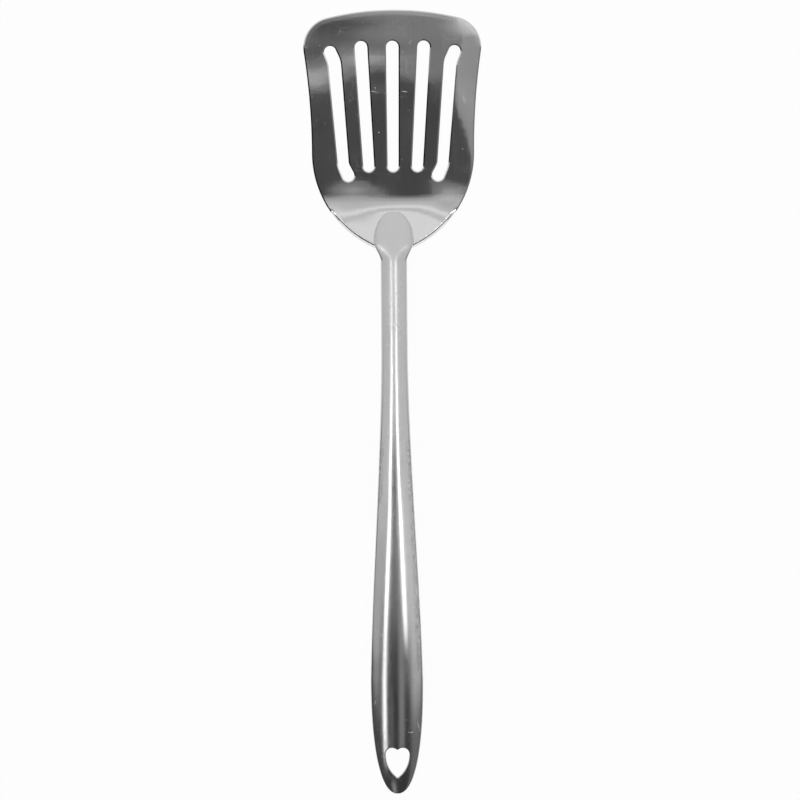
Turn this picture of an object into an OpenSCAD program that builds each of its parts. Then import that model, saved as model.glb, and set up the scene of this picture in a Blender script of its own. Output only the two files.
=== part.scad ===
// Slotted kitchen turner in polished stainless steel: a pressed blade with five slots,
// held by a hollow handle of two pressed half shells that are welded along both edges.
// The tool lies on a table: +Y points to the blade's front edge, +Z points up.

/* [Blade] */
// Thickness of the blade's sheet
sheet_t = 1.2; // [0.8:0.1:2]
// Widest width of the blade, at its front corners
blade_w = 81.8; // [78:0.2:90]
// How far each side draws in from its widest place to the waist
waist_in = 3.6; // [2:0.1:6]
// Distance from the front edge back to the waist
waist_back = 65.7; // [60:0.1:75]
// Radius of the curved front edge
front_r = 128; // [110:2:250]
// Radius of the two front corners
corner_r = 14; // [12:0.5:16]
// Radius of the two shoulders behind the waist
heel_r = 48; // [46:1:52]
// Width of the ground bevel along the front edge
bevel_w = 2.3; // [1:0.1:4]
// Thickness left at the front edge by the bevel
edge_t = 0.6; // [0.4:0.1:0.8]

/* [Slots] */
// Width of a slot near the front edge
slot_front_w = 5.8; // [4.5:0.1:6.5]
// Width of a slot near the heel
slot_heel_w = 5; // [4.5:0.1:6]
// Distance from the front edge to the three inner slots
slot_inset = 14.3; // [11:0.1:18]
// Length of the three inner slots
slot_len = 60.1; // [40:0.5:64]
// Spacing of the slots near the front edge
slot_front_pitch = 14.4; // [12.5:0.1:15]
// Spacing of the slots near the heel
slot_heel_pitch = 11.2; // [10:0.1:12.5]
// How far the outer slots' ends lie outside those of the inner ones, along the blade
outer_shift = 4.4; // [2:0.2:6]
// Width of the hooked ends of the outer slots
hook_w = 5.5; // [4.5:0.1:6]
// Sideways throw of the hooked ends of the outer slots
hook_throw = 2.2; // [0:0.1:3]
// Length of the hooked ends of the outer slots
hook_len = 4.7; // [3:0.1:6]

/* [Heel] */
// Slope of the heel and neck above the table, in degrees
heel_angle = 12; // [8:0.5:16]
// Length of the bend between blade and heel
bend_len = 10; // [6:0.5:16]
// Distance from the nose of the handle to the start of the bend
bend_gap = 8; // [5:0.5:10]
// Width of the turned-down lip along the heel's rear edges
lip_w = 1.2; // [0.8:0.1:2]
// Depth of the turned-down lip below the sheet
lip_drop = 1.2; // [0.5:0.1:2]

/* [Handle] */
// Width of the handle's nose on the heel
nose_w = 18.2; // [15:0.2:20]
// Length of the round nose of the front shell
nose_len = 14; // [10:0.5:16]
// Length of the flare from the neck out to the nose
flare_len = 9.5; // [8:0.5:12]
// Width of the neck
neck_w = 11.9; // [10:0.1:14]
// Length of the straight neck
neck_len = 45; // [36:1:60]
// Length of the taper from neck to grip
taper_len = 147; // [110:1:180]
// Widest width of the grip
grip_w = 23.8; // [20:0.1:28]
// Length of the rounded end behind the widest place
tail_len = 52.2; // [46:0.1:65]
// Height of the front shell at the neck
neck_front = 4; // [3:0.1:5]
// Height of the front shell at the grip
grip_front = 3.2; // [2.8:0.1:4.5]
// Depth of the back shell at the neck
neck_back = 3.4; // [2.8:0.1:4]
// Depth of the back shell at the grip
grip_back = 4.2; // [3:0.1:5]
// Wall of both shells
shell_wall = 0.8; // [0.6:0.1:1]
// Length of the arch in the handle
arch_len = 150; // [130:1:165]
// Length of the back shell's nose under the heel
back_nose_len = 15.5; // [12:0.5:17]
// Length of the blade's tang between the shells
tang_len = 29.5; // [20:0.5:32]

/* [Welds] */
// Height of the seam where the two shells meet
seam_gap = 0.5; // [0.3:0.1:0.8]
// Width of the seam beads beside the tang
seam_w = 0.45; // [0.3:0.05:0.6]
// Crown of the seam beads outside the shells
seam_bulge = 0.12; // [0.05:0.01:0.3]
// Leg of the fillet welds on the heel
fillet_leg = 1; // [0.6:0.1:1.4]

/* [Hanging hole] */
// Width of the heart-shaped hole
heart_w = 10.9; // [9:0.1:11.5]
// Radius of the two lobes
lobe_r = 2.97; // [2.8:0.01:3.2]
// Radius of the heart's lower sides
heart_side_r = 13.5; // [11:0.1:15]
// Distance from the handle's end to the widest place of the heart
heart_back = 18.2; // [17:0.1:21]
// Wall of the sleeve that lines the hole
collar_wall = 0.7; // [0.5:0.1:1]

/* [Hidden] */
$fn = 64;

// Clearance between the tang and the seam beads
tang_clear = 0.05;
// Solid metal inside the noses and inside the handle's end
nose_solid = 3;
tail_solid = 4.5;
// Least height of the hollow under a crown, next to that solid metal
hollow_least = 0.15;
// Blunt half width of both shells at their two ends
tip_half = 1.3;
// How far the heel's ends lie inside the nose's width, and how far the flare runs behind them
heel_tuck = 0.6;
flare_below = 6.5;
// Distance from the tang's end back to the arch, and over which the shells close up
arch_start = 5;
gap_run = 25;
// How the width grows along the taper, and how the outline rounds off at the tail
taper_power = 1.1;
tail_power = 2.3;
// Share of a shell's height that its upright sides take, at the nose and elsewhere
nose_sides = 0.8;
handle_sides = 0.5;
// How tightly a shell's sides turn into its crown
edge_power = 10;
// How fast the crowns rise from the noses, and how fast they fall toward the tail
ramp_power = 1.6;
tail_fall = 0.75;
// Lean of the outer slots: inward at the front hooks, outward at the heel
front_lean = 0.2;
heel_lean = 0.44;
// Distance from the heel's ends to where the two fillet welds stop, forward and back
weld_front = 1.5;
weld_back = 2;
// Share of the tail's length that the sleeve of the hanging hole is cut from
sleeve_share = [0.2, 0.95];
// Facets across a shell, and rows of facets along its nose, neck, taper and tail
across = 14;
nose_rows = 8;
neck_rows = 4;
taper_rows = 14;
tail_rows = 12;
// Height that clears every cut, and how far a cutting body stands past what it cuts
tall = 60;
spare = 5;

// Places along the blade, measured down from the front edge and then centred
waist_x = blade_w/2 - waist_in;
heel_cx = waist_x - heel_r;
nose_half = nose_w/2;
neck_half = neck_w/2;
grip_half = grip_w/2;
heel_end_x = nose_half - heel_tuck;
heel_drop = sqrt(pow(heel_r, 2) - pow(heel_end_x - heel_cx, 2));
blade_len = waist_back + heel_drop + flare_below;
overall_len = blade_len + neck_len + taper_len + tail_len + seam_bulge;
front_y = overall_len/2;
end_y = seam_bulge - overall_len/2;
waist_y = front_y - waist_back;
heel_end_y = waist_y - heel_drop;
neck_y = heel_end_y - flare_below;
flare_y = neck_y + flare_len;
nose_y = flare_y + nose_len;
bend_y = nose_y + bend_gap;
taper_y = neck_y - neck_len;
grip_y = taper_y - taper_len;
tang_y = neck_y - tang_len;
back_nose_y = neck_y + back_nose_len;
tang_half = neck_half - seam_w - tang_clear;

// The mid surface of the sheet and of the handle, in side view
rise = tan(heel_angle);
bend_r = bend_len/sin(heel_angle);
bend_top = bend_r*(1 - cos(heel_angle));
arch_y = tang_y - arch_start;
arch_z = sheet_t/2 + bend_top + rise*(bend_y - bend_len - arch_y);
fall = min([for (y = [end_y:2:arch_y - arch_len])
    (arch_z + rise*arch_len/2 - seam_gap/2 - back_depth(y))/(arch_y - y - arch_len/2)]);

function clamp(v, low, high) = max(low, min(high, v));
function ease(s) = s*s*(3 - 2*s);
function mix(a, b, s) = a + (b - a)*s;

function arc(centre, r, from, to, steps) =
    [for (i = [0:steps]) let (a = mix(from, to, i/steps)) centre + r*[cos(a), sin(a)]];

// All points but the first, which the line before them ends on
function after(points) = [for (i = [1:len(points) - 1]) points[i]];

function mirrored(points) = [for (i = [len(points) - 1:-1:0]) [-points[i].x, points[i].y]];

function mid_z(y) =
    y > bend_y ? sheet_t/2 :
    y > bend_y - bend_len ? sheet_t/2 + bend_r - sqrt(pow(bend_r, 2) - pow(bend_y - y, 2)) :
    y > arch_y ? sheet_t/2 + bend_top + rise*(bend_y - bend_len - y) :
    y > arch_y - arch_len ?
        arch_z + rise*(arch_y - y) - (rise + fall)*pow(arch_y - y, 2)/(2*arch_len) :
    arch_z + rise*arch_len/2 - fall*(arch_y - y - arch_len/2);

// Half the gap between the shells: the sheet's thickness at the tang, then a thin seam
function half_gap(y) = mix(sheet_t, seam_gap, ease(clamp((tang_y - y)/gap_run, 0, 1)))/2;

// How far along the taper and the tail a place is
function taper_share(y) = pow(clamp((taper_y - y)/taper_len, 0, 1), taper_power);
function tail_share(y) = clamp((grip_y - y)/tail_len, 0, 1);

// Half width of the handle's front shell
function front_half(y) = max(tip_half,
    y > flare_y ? nose_half*sqrt(max(0, 1 - pow((y - flare_y)/nose_len, 2))) :
    y > neck_y ? mix(nose_half, neck_half, ease((flare_y - y)/flare_len)) :
    y > grip_y ? mix(neck_half, grip_half, (ease(taper_share(y)) + taper_share(y))/2) :
    grip_half*pow(1 - pow(tail_share(y), tail_power), 1/tail_power));

// Half width of the back shell, which ends in a slimmer nose under the heel
function back_half(y) = y < neck_y ? front_half(y) :
    max(tip_half, neck_half*sqrt(max(0, 1 - pow((y - neck_y)/back_nose_len, 2))));

function ramp(s) = 1 - pow(1 - clamp(s, 0, 1), ramp_power);
function tail_drop(y) = pow(1 - pow(tail_share(y), 2), tail_fall);
function front_height(y) = mix(neck_front, grip_front, ease(taper_share(y)))*tail_drop(y)
    *ramp((nose_y - y)/(nose_len + flare_len));
function back_depth(y) = mix(neck_back, grip_back, ease(taper_share(y)))*tail_drop(y)
    *ramp((back_nose_y - y)/back_nose_len);

// Height of a shell's section, as a share of its full height, at a share s of its half width
function section_share(y, s) =
    let (sides = mix(handle_sides, nose_sides, ease(clamp((y - neck_y)/flare_len, 0, 1))))
    (sides + (1 - sides)*(1 - s*s))*pow(1 - pow(min(1, abs(s)), edge_power), 1/edge_power);

// One row of points over a shell of half width w and height h, from -X to +X
function shell_row(y, w, base, h) =
    [for (i = [0:across]) let (s = sin(180*i/across - 90)) [w*s, y, base + h*section_share(y, s)]];

// Places of the rows along the handle, close together at both round ends
function rows_from(top_y) = concat(
    [for (i = [0:nose_rows]) top_y - (top_y - neck_y)*(1 - cos(90*i/nose_rows))],
    [for (i = [1:neck_rows]) neck_y - neck_len*i/neck_rows],
    [for (i = [1:taper_rows]) taper_y - taper_len*i/taper_rows],
    [for (i = [1:tail_rows]) grip_y - tail_len*sin(90*i/tail_rows)]);

// The rows inside the hollow, drawn in from both solid ends
function hollow_y(y, top_y) =
    end_y + tail_solid + (y - end_y)*(top_y - nose_solid - end_y - tail_solid)/(top_y - end_y);

// The same faces seen from their other side, the last one first
function turned(faces) = [for (k = [len(faces) - 1:-1:0])
    [for (i = [len(faces[k]) - 1:-1:0]) faces[k][i]]];

// The same faces in the same order, but with face k as the first
function from_face(faces, k) = [for (i = [0:len(faces) - 1]) faces[(i + k)%len(faces)]];

// Quads between the rows of a grid, wound for the back shell's outside or for its inside
function quads(start, rows, flip) =
    [for (j = [0:rows - 2]) for (i = [0:across - 1])
        let (a = start + j*(across + 1) + i, b = a + across + 1)
        for (t = flip ? [[a, b + 1, b], [a, a + 1, b + 1]] : [[a, b, b + 1], [a, b + 1, a + 1]]) t];

// One half shell: side is 1 for the front shell and -1 for the back shell
module half_shell(side, top_y) {
    ys = rows_from(top_y);
    rows = len(ys);
    last = rows - 1;
    wide = across + 1;
    outer = [for (j = [0:last]) let (y = ys[j], closed = j == 0 || j == last)
        each shell_row(y, side > 0 ? front_half(y) : back_half(y), mid_z(y) + side*half_gap(y),
            closed ? 0 : side*(side > 0 ? front_height(y) : back_depth(y)))];
    inner = [for (j = [0:last])
        let (y = hollow_y(ys[j], top_y), closed = j == 0 || j == last,
            w = (side > 0 ? front_half(y) : back_half(y)) - shell_wall,
            h = max(hollow_least, (side > 0 ? front_height(y) : back_depth(y)) - shell_wall))
        each shell_row(y, w, mid_z(y) + side*half_gap(y), closed ? 0 : side*h)];
    shift = rows*wide;
    left_rim = [for (j = [0:last - 1]) let (a = j*wide, b = a + wide)
        each [[a, a + shift, b + shift], [a, b + shift, b]]];
    right_rim = [for (j = [0:last - 1]) let (a = j*wide + across, b = a + wide)
        each [[a, b + shift, a + shift], [a, b, b + shift]]];
    nose_rim = [for (i = [0:across - 1]) let (a = i)
        each [[a, a + 1, a + 1 + shift], [a, a + 1 + shift, a + shift]]];
    tail_rim = [for (i = [0:across - 1]) let (a = last*wide + i)
        each [[a, a + 1 + shift, a + 1], [a, a + shift, a + 1 + shift]]];
    faces = concat(quads(0, rows, false), quads(shift, rows, true),
        left_rim, right_rim, nose_rim, tail_rim);
    // The exact export tells outside from inside by the first faces, and needs them in this order
    polyhedron(concat(outer, inner),
        side > 0 ? turned(faces) : from_face(faces, across*(2*floor(rows/2) + 1)));
}

// The closed outer form of the handle around the hanging hole
module tail_form() {
    swept([for (y = rows_from(nose_y))
        if (tail_share(y) > sleeve_share[0] && tail_share(y) < sleeve_share[1])
        let (front = shell_row(y, front_half(y), mid_z(y) + half_gap(y), front_height(y)),
            back = shell_row(y, back_half(y), mid_z(y) - half_gap(y), -back_depth(y)))
        concat(front, [for (i = [across:-1:0]) back[i]])]);
}

// A tube of equal sections that follow one another, closed by its first and last section
module swept(sections) {
    size = len(sections[0]);
    count = len(sections);
    polyhedron([for (s = sections) each s], concat(
        [for (j = [0:count - 2]) for (i = [0:size - 1])
            let (a = j*size + i, b = j*size + (i + 1)%size)
            for (t = [[a, b, b + size], [a, b + size, a + size]]) t],
        [[for (i = [size - 1:-1:0]) i]],
        [[for (i = [0:size - 1]) (count - 1)*size + i]]));
}

// Normal of a path of plan points at place i, on the left side of its travel
function path_normal(path, i) =
    let (d = path[min(i + 1, len(path) - 1)] - path[max(i - 1, 0)]) [-d.y, d.x]/norm(d);

// The blade's outline in plan, seen from above
function blade_edge() =
    let (centre_y = front_y - front_r,
        cx = blade_w/2 - corner_r,
        cy = centre_y + sqrt(pow(front_r - corner_r, 2) - pow(cx, 2)),
        inset = waist_x - cx,
        down = waist_y - cy,
        side_r = (pow(inset, 2) + pow(down, 2) - pow(corner_r, 2))/(2*(corner_r - inset)),
        side_angle = atan2(down, waist_x + side_r - cx),
        front_angle = atan2(cy - centre_y, cx))
    concat(
        arc([0, centre_y], front_r, 90, front_angle, 6),
        after(arc([cx, cy], corner_r, front_angle, side_angle, 18)),
        after(arc([waist_x + side_r, waist_y], side_r, 180 + side_angle, 180, 4)),
        after(arc([heel_cx, waist_y], heel_r, 0, -acos((heel_end_x - heel_cx)/heel_r), 16)),
        [for (i = [1:4]) let (y = mix(heel_end_y, neck_y, i/4)) [front_half(y), y]],
        [[tang_half, neck_y]],
        arc([0, tang_y + tang_half], tang_half, 0, -90, 8));

// The sheet in side view, with the given depth below its mid surface and above it
module sheet_profile(below, above) {
    ys = concat([front_y + spare, bend_y],
        [for (i = [1:6]) bend_y - bend_len*i/6], [tang_y - spare]);
    rotate([90, 0, 90])
        linear_extrude(blade_w + 2*spare, center = true)
            polygon(concat([for (y = ys) [y, mid_z(y) + above]],
                [for (i = [len(ys) - 1:-1:0]) [ys[i], mid_z(ys[i]) - below]]));
}

// A slot through the sheet, along a path of [x, y, radius]
module slot(path) {
    translate([0, 0, -tall/2])
        linear_extrude(tall) {
            for (p = path) translate([p.x, p.y]) circle(p.z);
            for (i = [0:len(path) - 2]) {
                a = path[i];
                b = path[i + 1];
                along = [b.x - a.x, b.y - a.y];
                side = [-along.y, along.x]/norm(along);
                polygon([[a.x, a.y] + side*a.z, [b.x, b.y] + side*b.z,
                    [b.x, b.y] - side*b.z, [a.x, a.y] - side*a.z]);
            }
        }
}

module slots() {
    front_end = front_y - slot_inset - slot_front_w/2;
    heel_end = front_y - slot_inset - slot_len + slot_heel_w/2;
    for (i = [-1:1])
        slot([[i*slot_front_pitch, front_end, slot_front_w/2],
            [i*slot_heel_pitch, heel_end, slot_heel_w/2]]);
    // The outer slots lean a little more than the inner ones and end in hooks
    hook_front = front_end - outer_shift/2 + slot_front_w/2 - hook_w/2;
    hook_heel = heel_end - outer_shift + hook_w/2 - slot_heel_w/2;
    front_x = 2*slot_front_pitch - hook_throw;
    heel_x = 2*slot_heel_pitch + heel_lean;
    for (side = [-1, 1])
        slot([[side*(front_x + hook_throw - front_lean), hook_front, hook_w/2],
            [side*front_x, hook_front - hook_len, slot_front_w/2],
            [side*heel_x, hook_heel + hook_len, slot_heel_w/2],
            [side*(heel_x - hook_throw), hook_heel, hook_w/2]]);
}

// The two bands of the lip under the heel's rear edges
module lip() {
    from = asin((waist_y - bend_y + bend_len/2)/heel_r);
    to = acos((heel_end_x + fillet_leg - heel_cx)/heel_r);
    for (side = [0, 1]) mirror([side, 0, 0])
        linear_extrude(tall)
            polygon(concat(arc([heel_cx, waist_y], heel_r, -from, -to, 12),
                arc([heel_cx, waist_y], heel_r - lip_w, -to, -from, 12)));
}

module front_bevel() {
    drop = sheet_t - edge_t;
    translate([0, front_y - front_r, 0])
        rotate_extrude($fn = 256)
            polygon([[front_r - bevel_w, sheet_t], [front_r + bevel_w, sheet_t + spare],
                [front_r + bevel_w, sheet_t - 2*drop]]);
}

// Pressed sheet: slotted blade, bend, heel with its turned-down lip, and tang
module blade() {
    color("silver") {
        difference() {
            intersection() {
                linear_extrude(tall) polygon(concat(blade_edge(), mirrored(blade_edge())));
                sheet_profile(sheet_t/2, sheet_t/2);
            }
            slots();
            front_bevel();
        }
        intersection() {
            lip();
            sheet_profile(sheet_t/2 + lip_drop, 0);
        }
    }
}

// The heart in plan, widened all round by the given margin
module heart(margin) {
    half = heart_w/2;
    side_x = heart_side_r - half;
    r = lobe_r + margin;
    side_r = heart_side_r + margin;
    lobe_x = half - lobe_r;
    tip_a = acos(side_x/side_r);
    notch_a = acos(lobe_x/r);
    edge = concat(arc([-side_x, 0], side_r, -tip_a, 0, 8),
        after(arc([lobe_x, 0], r, 0, 180 - notch_a, 13)));
    translate([0, end_y + heart_back])
        polygon(concat(edge, [for (i = [len(edge) - 2:-1:1]) [-edge[i].x, edge[i].y]]));
}

module heart_cut(margin) {
    linear_extrude(tall) heart(margin);
}

module handle_front_shell() {
    color("gainsboro")
        difference() {
            half_shell(1, nose_y);
            heart_cut(collar_wall);
        }
}

module handle_back_shell() {
    color("darkgray")
        difference() {
            half_shell(-1, back_nose_y);
            translate([0, 0, -1]) heart_cut(collar_wall);
        }
}

// One seam bead on the +X edge, from the tang round to the middle of the handle's end
module seam_bead() {
    ys = [for (y = rows_from(nose_y)) if (y <= neck_y) y];
    path = concat([for (y = ys) [front_half(y), y]], [[0, end_y]]);
    count = len(path);
    swept([for (i = [0:count - 1])
        let (p = path[i], n = i == count - 1 ? [0, -1] : path_normal(path, i),
            z = mid_z(p.y), g = half_gap(p.y),
            w = mix(shell_wall, seam_w, (g - seam_gap/2)/(sheet_t/2 - seam_gap/2)),
            far = p + n*seam_bulge, near = p - n*w)
        [[near.x, near.y, z - g], [near.x, near.y, z + g], [p.x, p.y, z + g],
            [far.x, far.y, z], [p.x, p.y, z - g]]]);
}

module seam_weld_right() {
    color("lightsteelblue") seam_bead();
}

module seam_weld_left() {
    color("lightsteelblue") mirror([1, 0, 0]) seam_bead();
}

// Height of a shell over its rim at a plan point
function height_at(side, p) =
    let (w = side > 0 ? front_half(p.y) : back_half(p.y),
        h = side > 0 ? front_height(p.y) : back_depth(p.y))
    h*section_share(p.y, p.x/w);

// A fillet round a shell's nose on one face of the sheet: side is 1 on top and -1 below. It
// climbs the shell's upright sides by its leg, and laps a little further in at the flat tip.
module fillet(side, low_y, top_y) {
    ys = concat([low_y], [for (i = [nose_rows:-1:0]) let (y = rows_from(top_y)[i])
        if (y > low_y + fillet_leg/2) y]);
    right = [for (y = ys) [side > 0 ? front_half(y) : back_half(y), y]];
    path = concat(right, mirrored(right));
    swept([for (i = [0:len(path) - 1])
        let (p = path[i], n = -path_normal(path, i), lap = fillet_leg*mix(1/8, 1/3, abs(n.y)),
            outer = p + fillet_leg*n, top = p - lap*n, middle = p - lap*n/2,
            top_up = min(fillet_leg, height_at(side, top)),
            middle_up = min(top_up*0.7, height_at(side, middle)),
            section = [[p.x, p.y, mid_z(p.y) + side*sheet_t/2],
                [outer.x, outer.y, mid_z(outer.y) + side*sheet_t/2],
                [top.x, top.y, mid_z(top.y) + side*(sheet_t/2 + top_up)],
                [middle.x, middle.y, mid_z(middle.y) + side*(sheet_t/2 + middle_up)]])
        side > 0 ? section : [for (k = [3:-1:0]) section[k]]]);
}

module nose_weld() {
    color("lightslategray") fillet(1, heel_end_y + weld_front, nose_y);
}

module heel_weld() {
    color("slategray") fillet(-1, heel_end_y - weld_back, back_nose_y);
}

// Sleeve that joins the two shells round the hanging hole
module hang_hole_collar() {
    color("lightgray")
        intersection() {
            difference() {
                translate([0, 0, -1]) heart_cut(collar_wall);
                translate([0, 0, -2]) heart_cut(0);
            }
            tail_form();
        }
}

blade();
handle_front_shell();
handle_back_shell();
seam_weld_left();
seam_weld_right();
nose_weld();
heel_weld();
hang_hole_collar();
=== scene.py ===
import math

import bmesh
import bpy
import numpy as np
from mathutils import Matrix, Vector


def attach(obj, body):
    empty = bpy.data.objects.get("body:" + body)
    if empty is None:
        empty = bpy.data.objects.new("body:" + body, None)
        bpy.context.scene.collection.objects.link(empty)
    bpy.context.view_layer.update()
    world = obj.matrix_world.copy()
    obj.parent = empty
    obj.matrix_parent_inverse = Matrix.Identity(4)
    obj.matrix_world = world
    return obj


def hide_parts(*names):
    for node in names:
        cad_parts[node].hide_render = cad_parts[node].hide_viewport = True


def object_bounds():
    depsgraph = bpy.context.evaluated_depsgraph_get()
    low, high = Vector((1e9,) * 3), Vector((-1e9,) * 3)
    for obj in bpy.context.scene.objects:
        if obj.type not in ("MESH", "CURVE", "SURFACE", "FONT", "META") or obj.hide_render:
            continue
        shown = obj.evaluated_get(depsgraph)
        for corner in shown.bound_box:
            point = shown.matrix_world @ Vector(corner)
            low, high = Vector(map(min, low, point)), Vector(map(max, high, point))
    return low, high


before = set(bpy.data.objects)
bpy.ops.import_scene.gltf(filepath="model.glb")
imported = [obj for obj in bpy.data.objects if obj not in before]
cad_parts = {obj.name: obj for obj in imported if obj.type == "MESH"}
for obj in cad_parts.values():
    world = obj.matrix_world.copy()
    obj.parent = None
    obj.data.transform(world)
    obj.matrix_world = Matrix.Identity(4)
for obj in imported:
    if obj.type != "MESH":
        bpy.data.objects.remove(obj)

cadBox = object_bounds()
print("frame loaded:", len(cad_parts), "nodes")


def mix(a, b, s):
    return a + (b - a) * s


def clamp(v, low=0.0, high=1.0):
    return max(low, min(high, v))


def ease(s):
    s = clamp(s)
    return s * s * (3 - 2 * s)


def slopeOf(degrees):
    return math.tan(math.radians(degrees))


# how far a line has sunk at a distance, if it turns from level to a slope of 1 over the given run
def turnedLine(distance, run):
    t = max(0, distance)
    return t * t / (2 * run) if t < run else t - run / 2


# the turner's own lines, the same as the frame's. Lengths are in millimetres until a piece is finished, and
# angles in degrees.
turner = {
    "frontRadius": 128, "cornerRadius": 14, "waistIn": 3.6, "waistBack": 65.7,
    "heelRadius": 48, "heelTuck": 0.6, "flareBelow": 6.5,
    "sheet": 1.2, "tangLength": 29.5,
    "heelAngle": 12, "bendLength": 10, "bendGap": 8,
    "noseWidth": 18.2, "noseLength": 14, "flareLength": 9.5,
    "neckWidth": 11.9, "neckLength": 45, "taperLength": 147, "taperPower": 1.1,
    "gripWidth": 23.8, "tailLength": 52.2, "tailRound": 2.3, "tailPower": 0.75, "rampPower": 1.6,
    "neckFront": 4, "gripFront": 3.2, "neckBack": 3.4, "gripBack": 4.2,
    "noseSides": 0.8, "handleSides": 0.5, "edgePower": 10,
    "archStart": 5, "archLength": 150, "backNoseLength": 15.5,
    "seamGap": 0.5, "seamBulge": 0.12, "gapRun": 25, "tipHalf": 1.3,
}

bladeHalf = cadBox[1].x * 1000
frontY = cadBox[1].y * 1000
endY = cadBox[0].y * 1000 + turner["seamBulge"]      # the seam's crown stands behind the shells
frontCentre = Vector((0, frontY - turner["frontRadius"], 0))
waistX = bladeHalf - turner["waistIn"]
waistY = frontY - turner["waistBack"]
heelX = waistX - turner["heelRadius"]
noseHalf = turner["noseWidth"] / 2
neckHalf = turner["neckWidth"] / 2
gripHalf = turner["gripWidth"] / 2
heelEndX = noseHalf - turner["heelTuck"]
heelEndY = waistY - math.sqrt(turner["heelRadius"] ** 2 - (heelEndX - heelX) ** 2)
neckY = heelEndY - turner["flareBelow"]
flareY = neckY + turner["flareLength"]
noseY = flareY + turner["noseLength"]
bendY = noseY + turner["bendGap"]
taperY = neckY - turner["neckLength"]
gripY = taperY - turner["taperLength"]
tangY = neckY - turner["tangLength"]
backNoseY = neckY + turner["backNoseLength"]
archY = tangY - turner["archStart"]
rise = slopeOf(turner["heelAngle"])
bendR = turner["bendLength"] / math.sin(math.radians(turner["heelAngle"]))
bendTop = bendR * (1 - math.cos(math.radians(turner["heelAngle"])))
archZ = turner["sheet"] / 2 + bendTop + rise * (bendY - turner["bendLength"] - archY)


def taperShare(y):
    return clamp((taperY - y) / turner["taperLength"]) ** turner["taperPower"]


def tailShare(y):
    return clamp((gripY - y) / turner["tailLength"])


def tailDrop(y):
    return (1 - tailShare(y) ** 2) ** turner["tailPower"]


def ramp(s):
    return 1 - (1 - clamp(s)) ** turner["rampPower"]


def frontHeight(y):
    return (mix(turner["neckFront"], turner["gripFront"], ease(taperShare(y))) * tailDrop(y)
            * ramp((noseY - y) / (turner["noseLength"] + turner["flareLength"])))


def backDepth(y):
    return (mix(turner["neckBack"], turner["gripBack"], ease(taperShare(y))) * tailDrop(y)
            * ramp((backNoseY - y) / turner["backNoseLength"]))


# slope of the handle behind its arch: the steepest that keeps its underside off the floor
def fallBehindArch():
    half = turner["archLength"] / 2
    top = archZ + rise * half - turner["seamGap"] / 2
    ys = np.arange(endY, archY - turner["archLength"], 2)
    return min((top - backDepth(y)) / (archY - y - half) for y in ys)


fall = fallBehindArch()


# height of the middle of the sheet, and behind it of the handle's seam
def midZ(y):
    length, arch = turner["bendLength"], turner["archLength"]
    if y > bendY:
        return turner["sheet"] / 2
    if y > bendY - length:
        return turner["sheet"] / 2 + bendR - math.sqrt(bendR ** 2 - (bendY - y) ** 2)
    if y > archY:
        return turner["sheet"] / 2 + bendTop + rise * (bendY - length - y)
    if y > archY - arch:
        return archZ + rise * (archY - y) - (rise + fall) * (archY - y) ** 2 / (2 * arch)
    return archZ + rise * arch / 2 - fall * (archY - y - arch / 2)


def halfGap(y):
    return mix(turner["sheet"], turner["seamGap"], ease((tangY - y) / turner["gapRun"])) / 2


def frontHalf(y):
    if y > flareY:
        w = noseHalf * math.sqrt(max(0, 1 - ((y - flareY) / turner["noseLength"]) ** 2))
    elif y > neckY:
        w = mix(noseHalf, neckHalf, ease((flareY - y) / turner["flareLength"]))
    elif y > gripY:
        w = mix(neckHalf, gripHalf, (ease(taperShare(y)) + taperShare(y)) / 2)
    else:
        power = turner["tailRound"]
        w = gripHalf * (1 - tailShare(y) ** power) ** (1 / power)
    return max(turner["tipHalf"], w)


def backHalf(y):
    if y < neckY:
        return frontHalf(y)
    return max(turner["tipHalf"],
               neckHalf * math.sqrt(max(0, 1 - ((y - neckY) / turner["backNoseLength"]) ** 2)))


# height of a shell's section, as a share of its full height, at a share s of its half width
def sectionShare(y, s):
    sides = mix(turner["handleSides"], turner["noseSides"], ease((y - neckY) / turner["flareLength"]))
    power = turner["edgePower"]
    return (sides + (1 - sides) * (1 - s * s)) * (1 - min(1, abs(s)) ** power) ** (1 / power)


# height of a shell's outside above its seam: side is 1 for the front shell and -1 for the back one
def heightAt(side, x, y):
    w = frontHalf(y) if side > 0 else backHalf(y)
    h = frontHeight(y) if side > 0 else backDepth(y)
    return h * sectionShare(y, x / w)


# the two helpers that add a node to a tree: one for sums, one that maps a range onto another
def treeTools(tree):
    def maths(kind, a, b=0.0):
        node = tree.nodes.new("ShaderNodeMath")
        node.operation = kind
        for socket, value in zip(node.inputs, (a, b)):
            if isinstance(value, (int, float)):
                socket.default_value = value
            else:
                tree.links.new(value, socket)
        return node.outputs["Value"]

    def remap(value, fromLow, fromHigh, low=0.0, high=1.0, kind="LINEAR"):
        node = tree.nodes.new("ShaderNodeMapRange")
        node.interpolation_type = kind
        sockets = ("From Min", "From Max", "To Min", "To Max")
        for socket, number in zip(sockets, (fromLow, fromHigh, low, high)):
            node.inputs[socket].default_value = number
        tree.links.new(value, node.inputs["Value"])
        return node.outputs["Result"]

    return maths, remap


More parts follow.
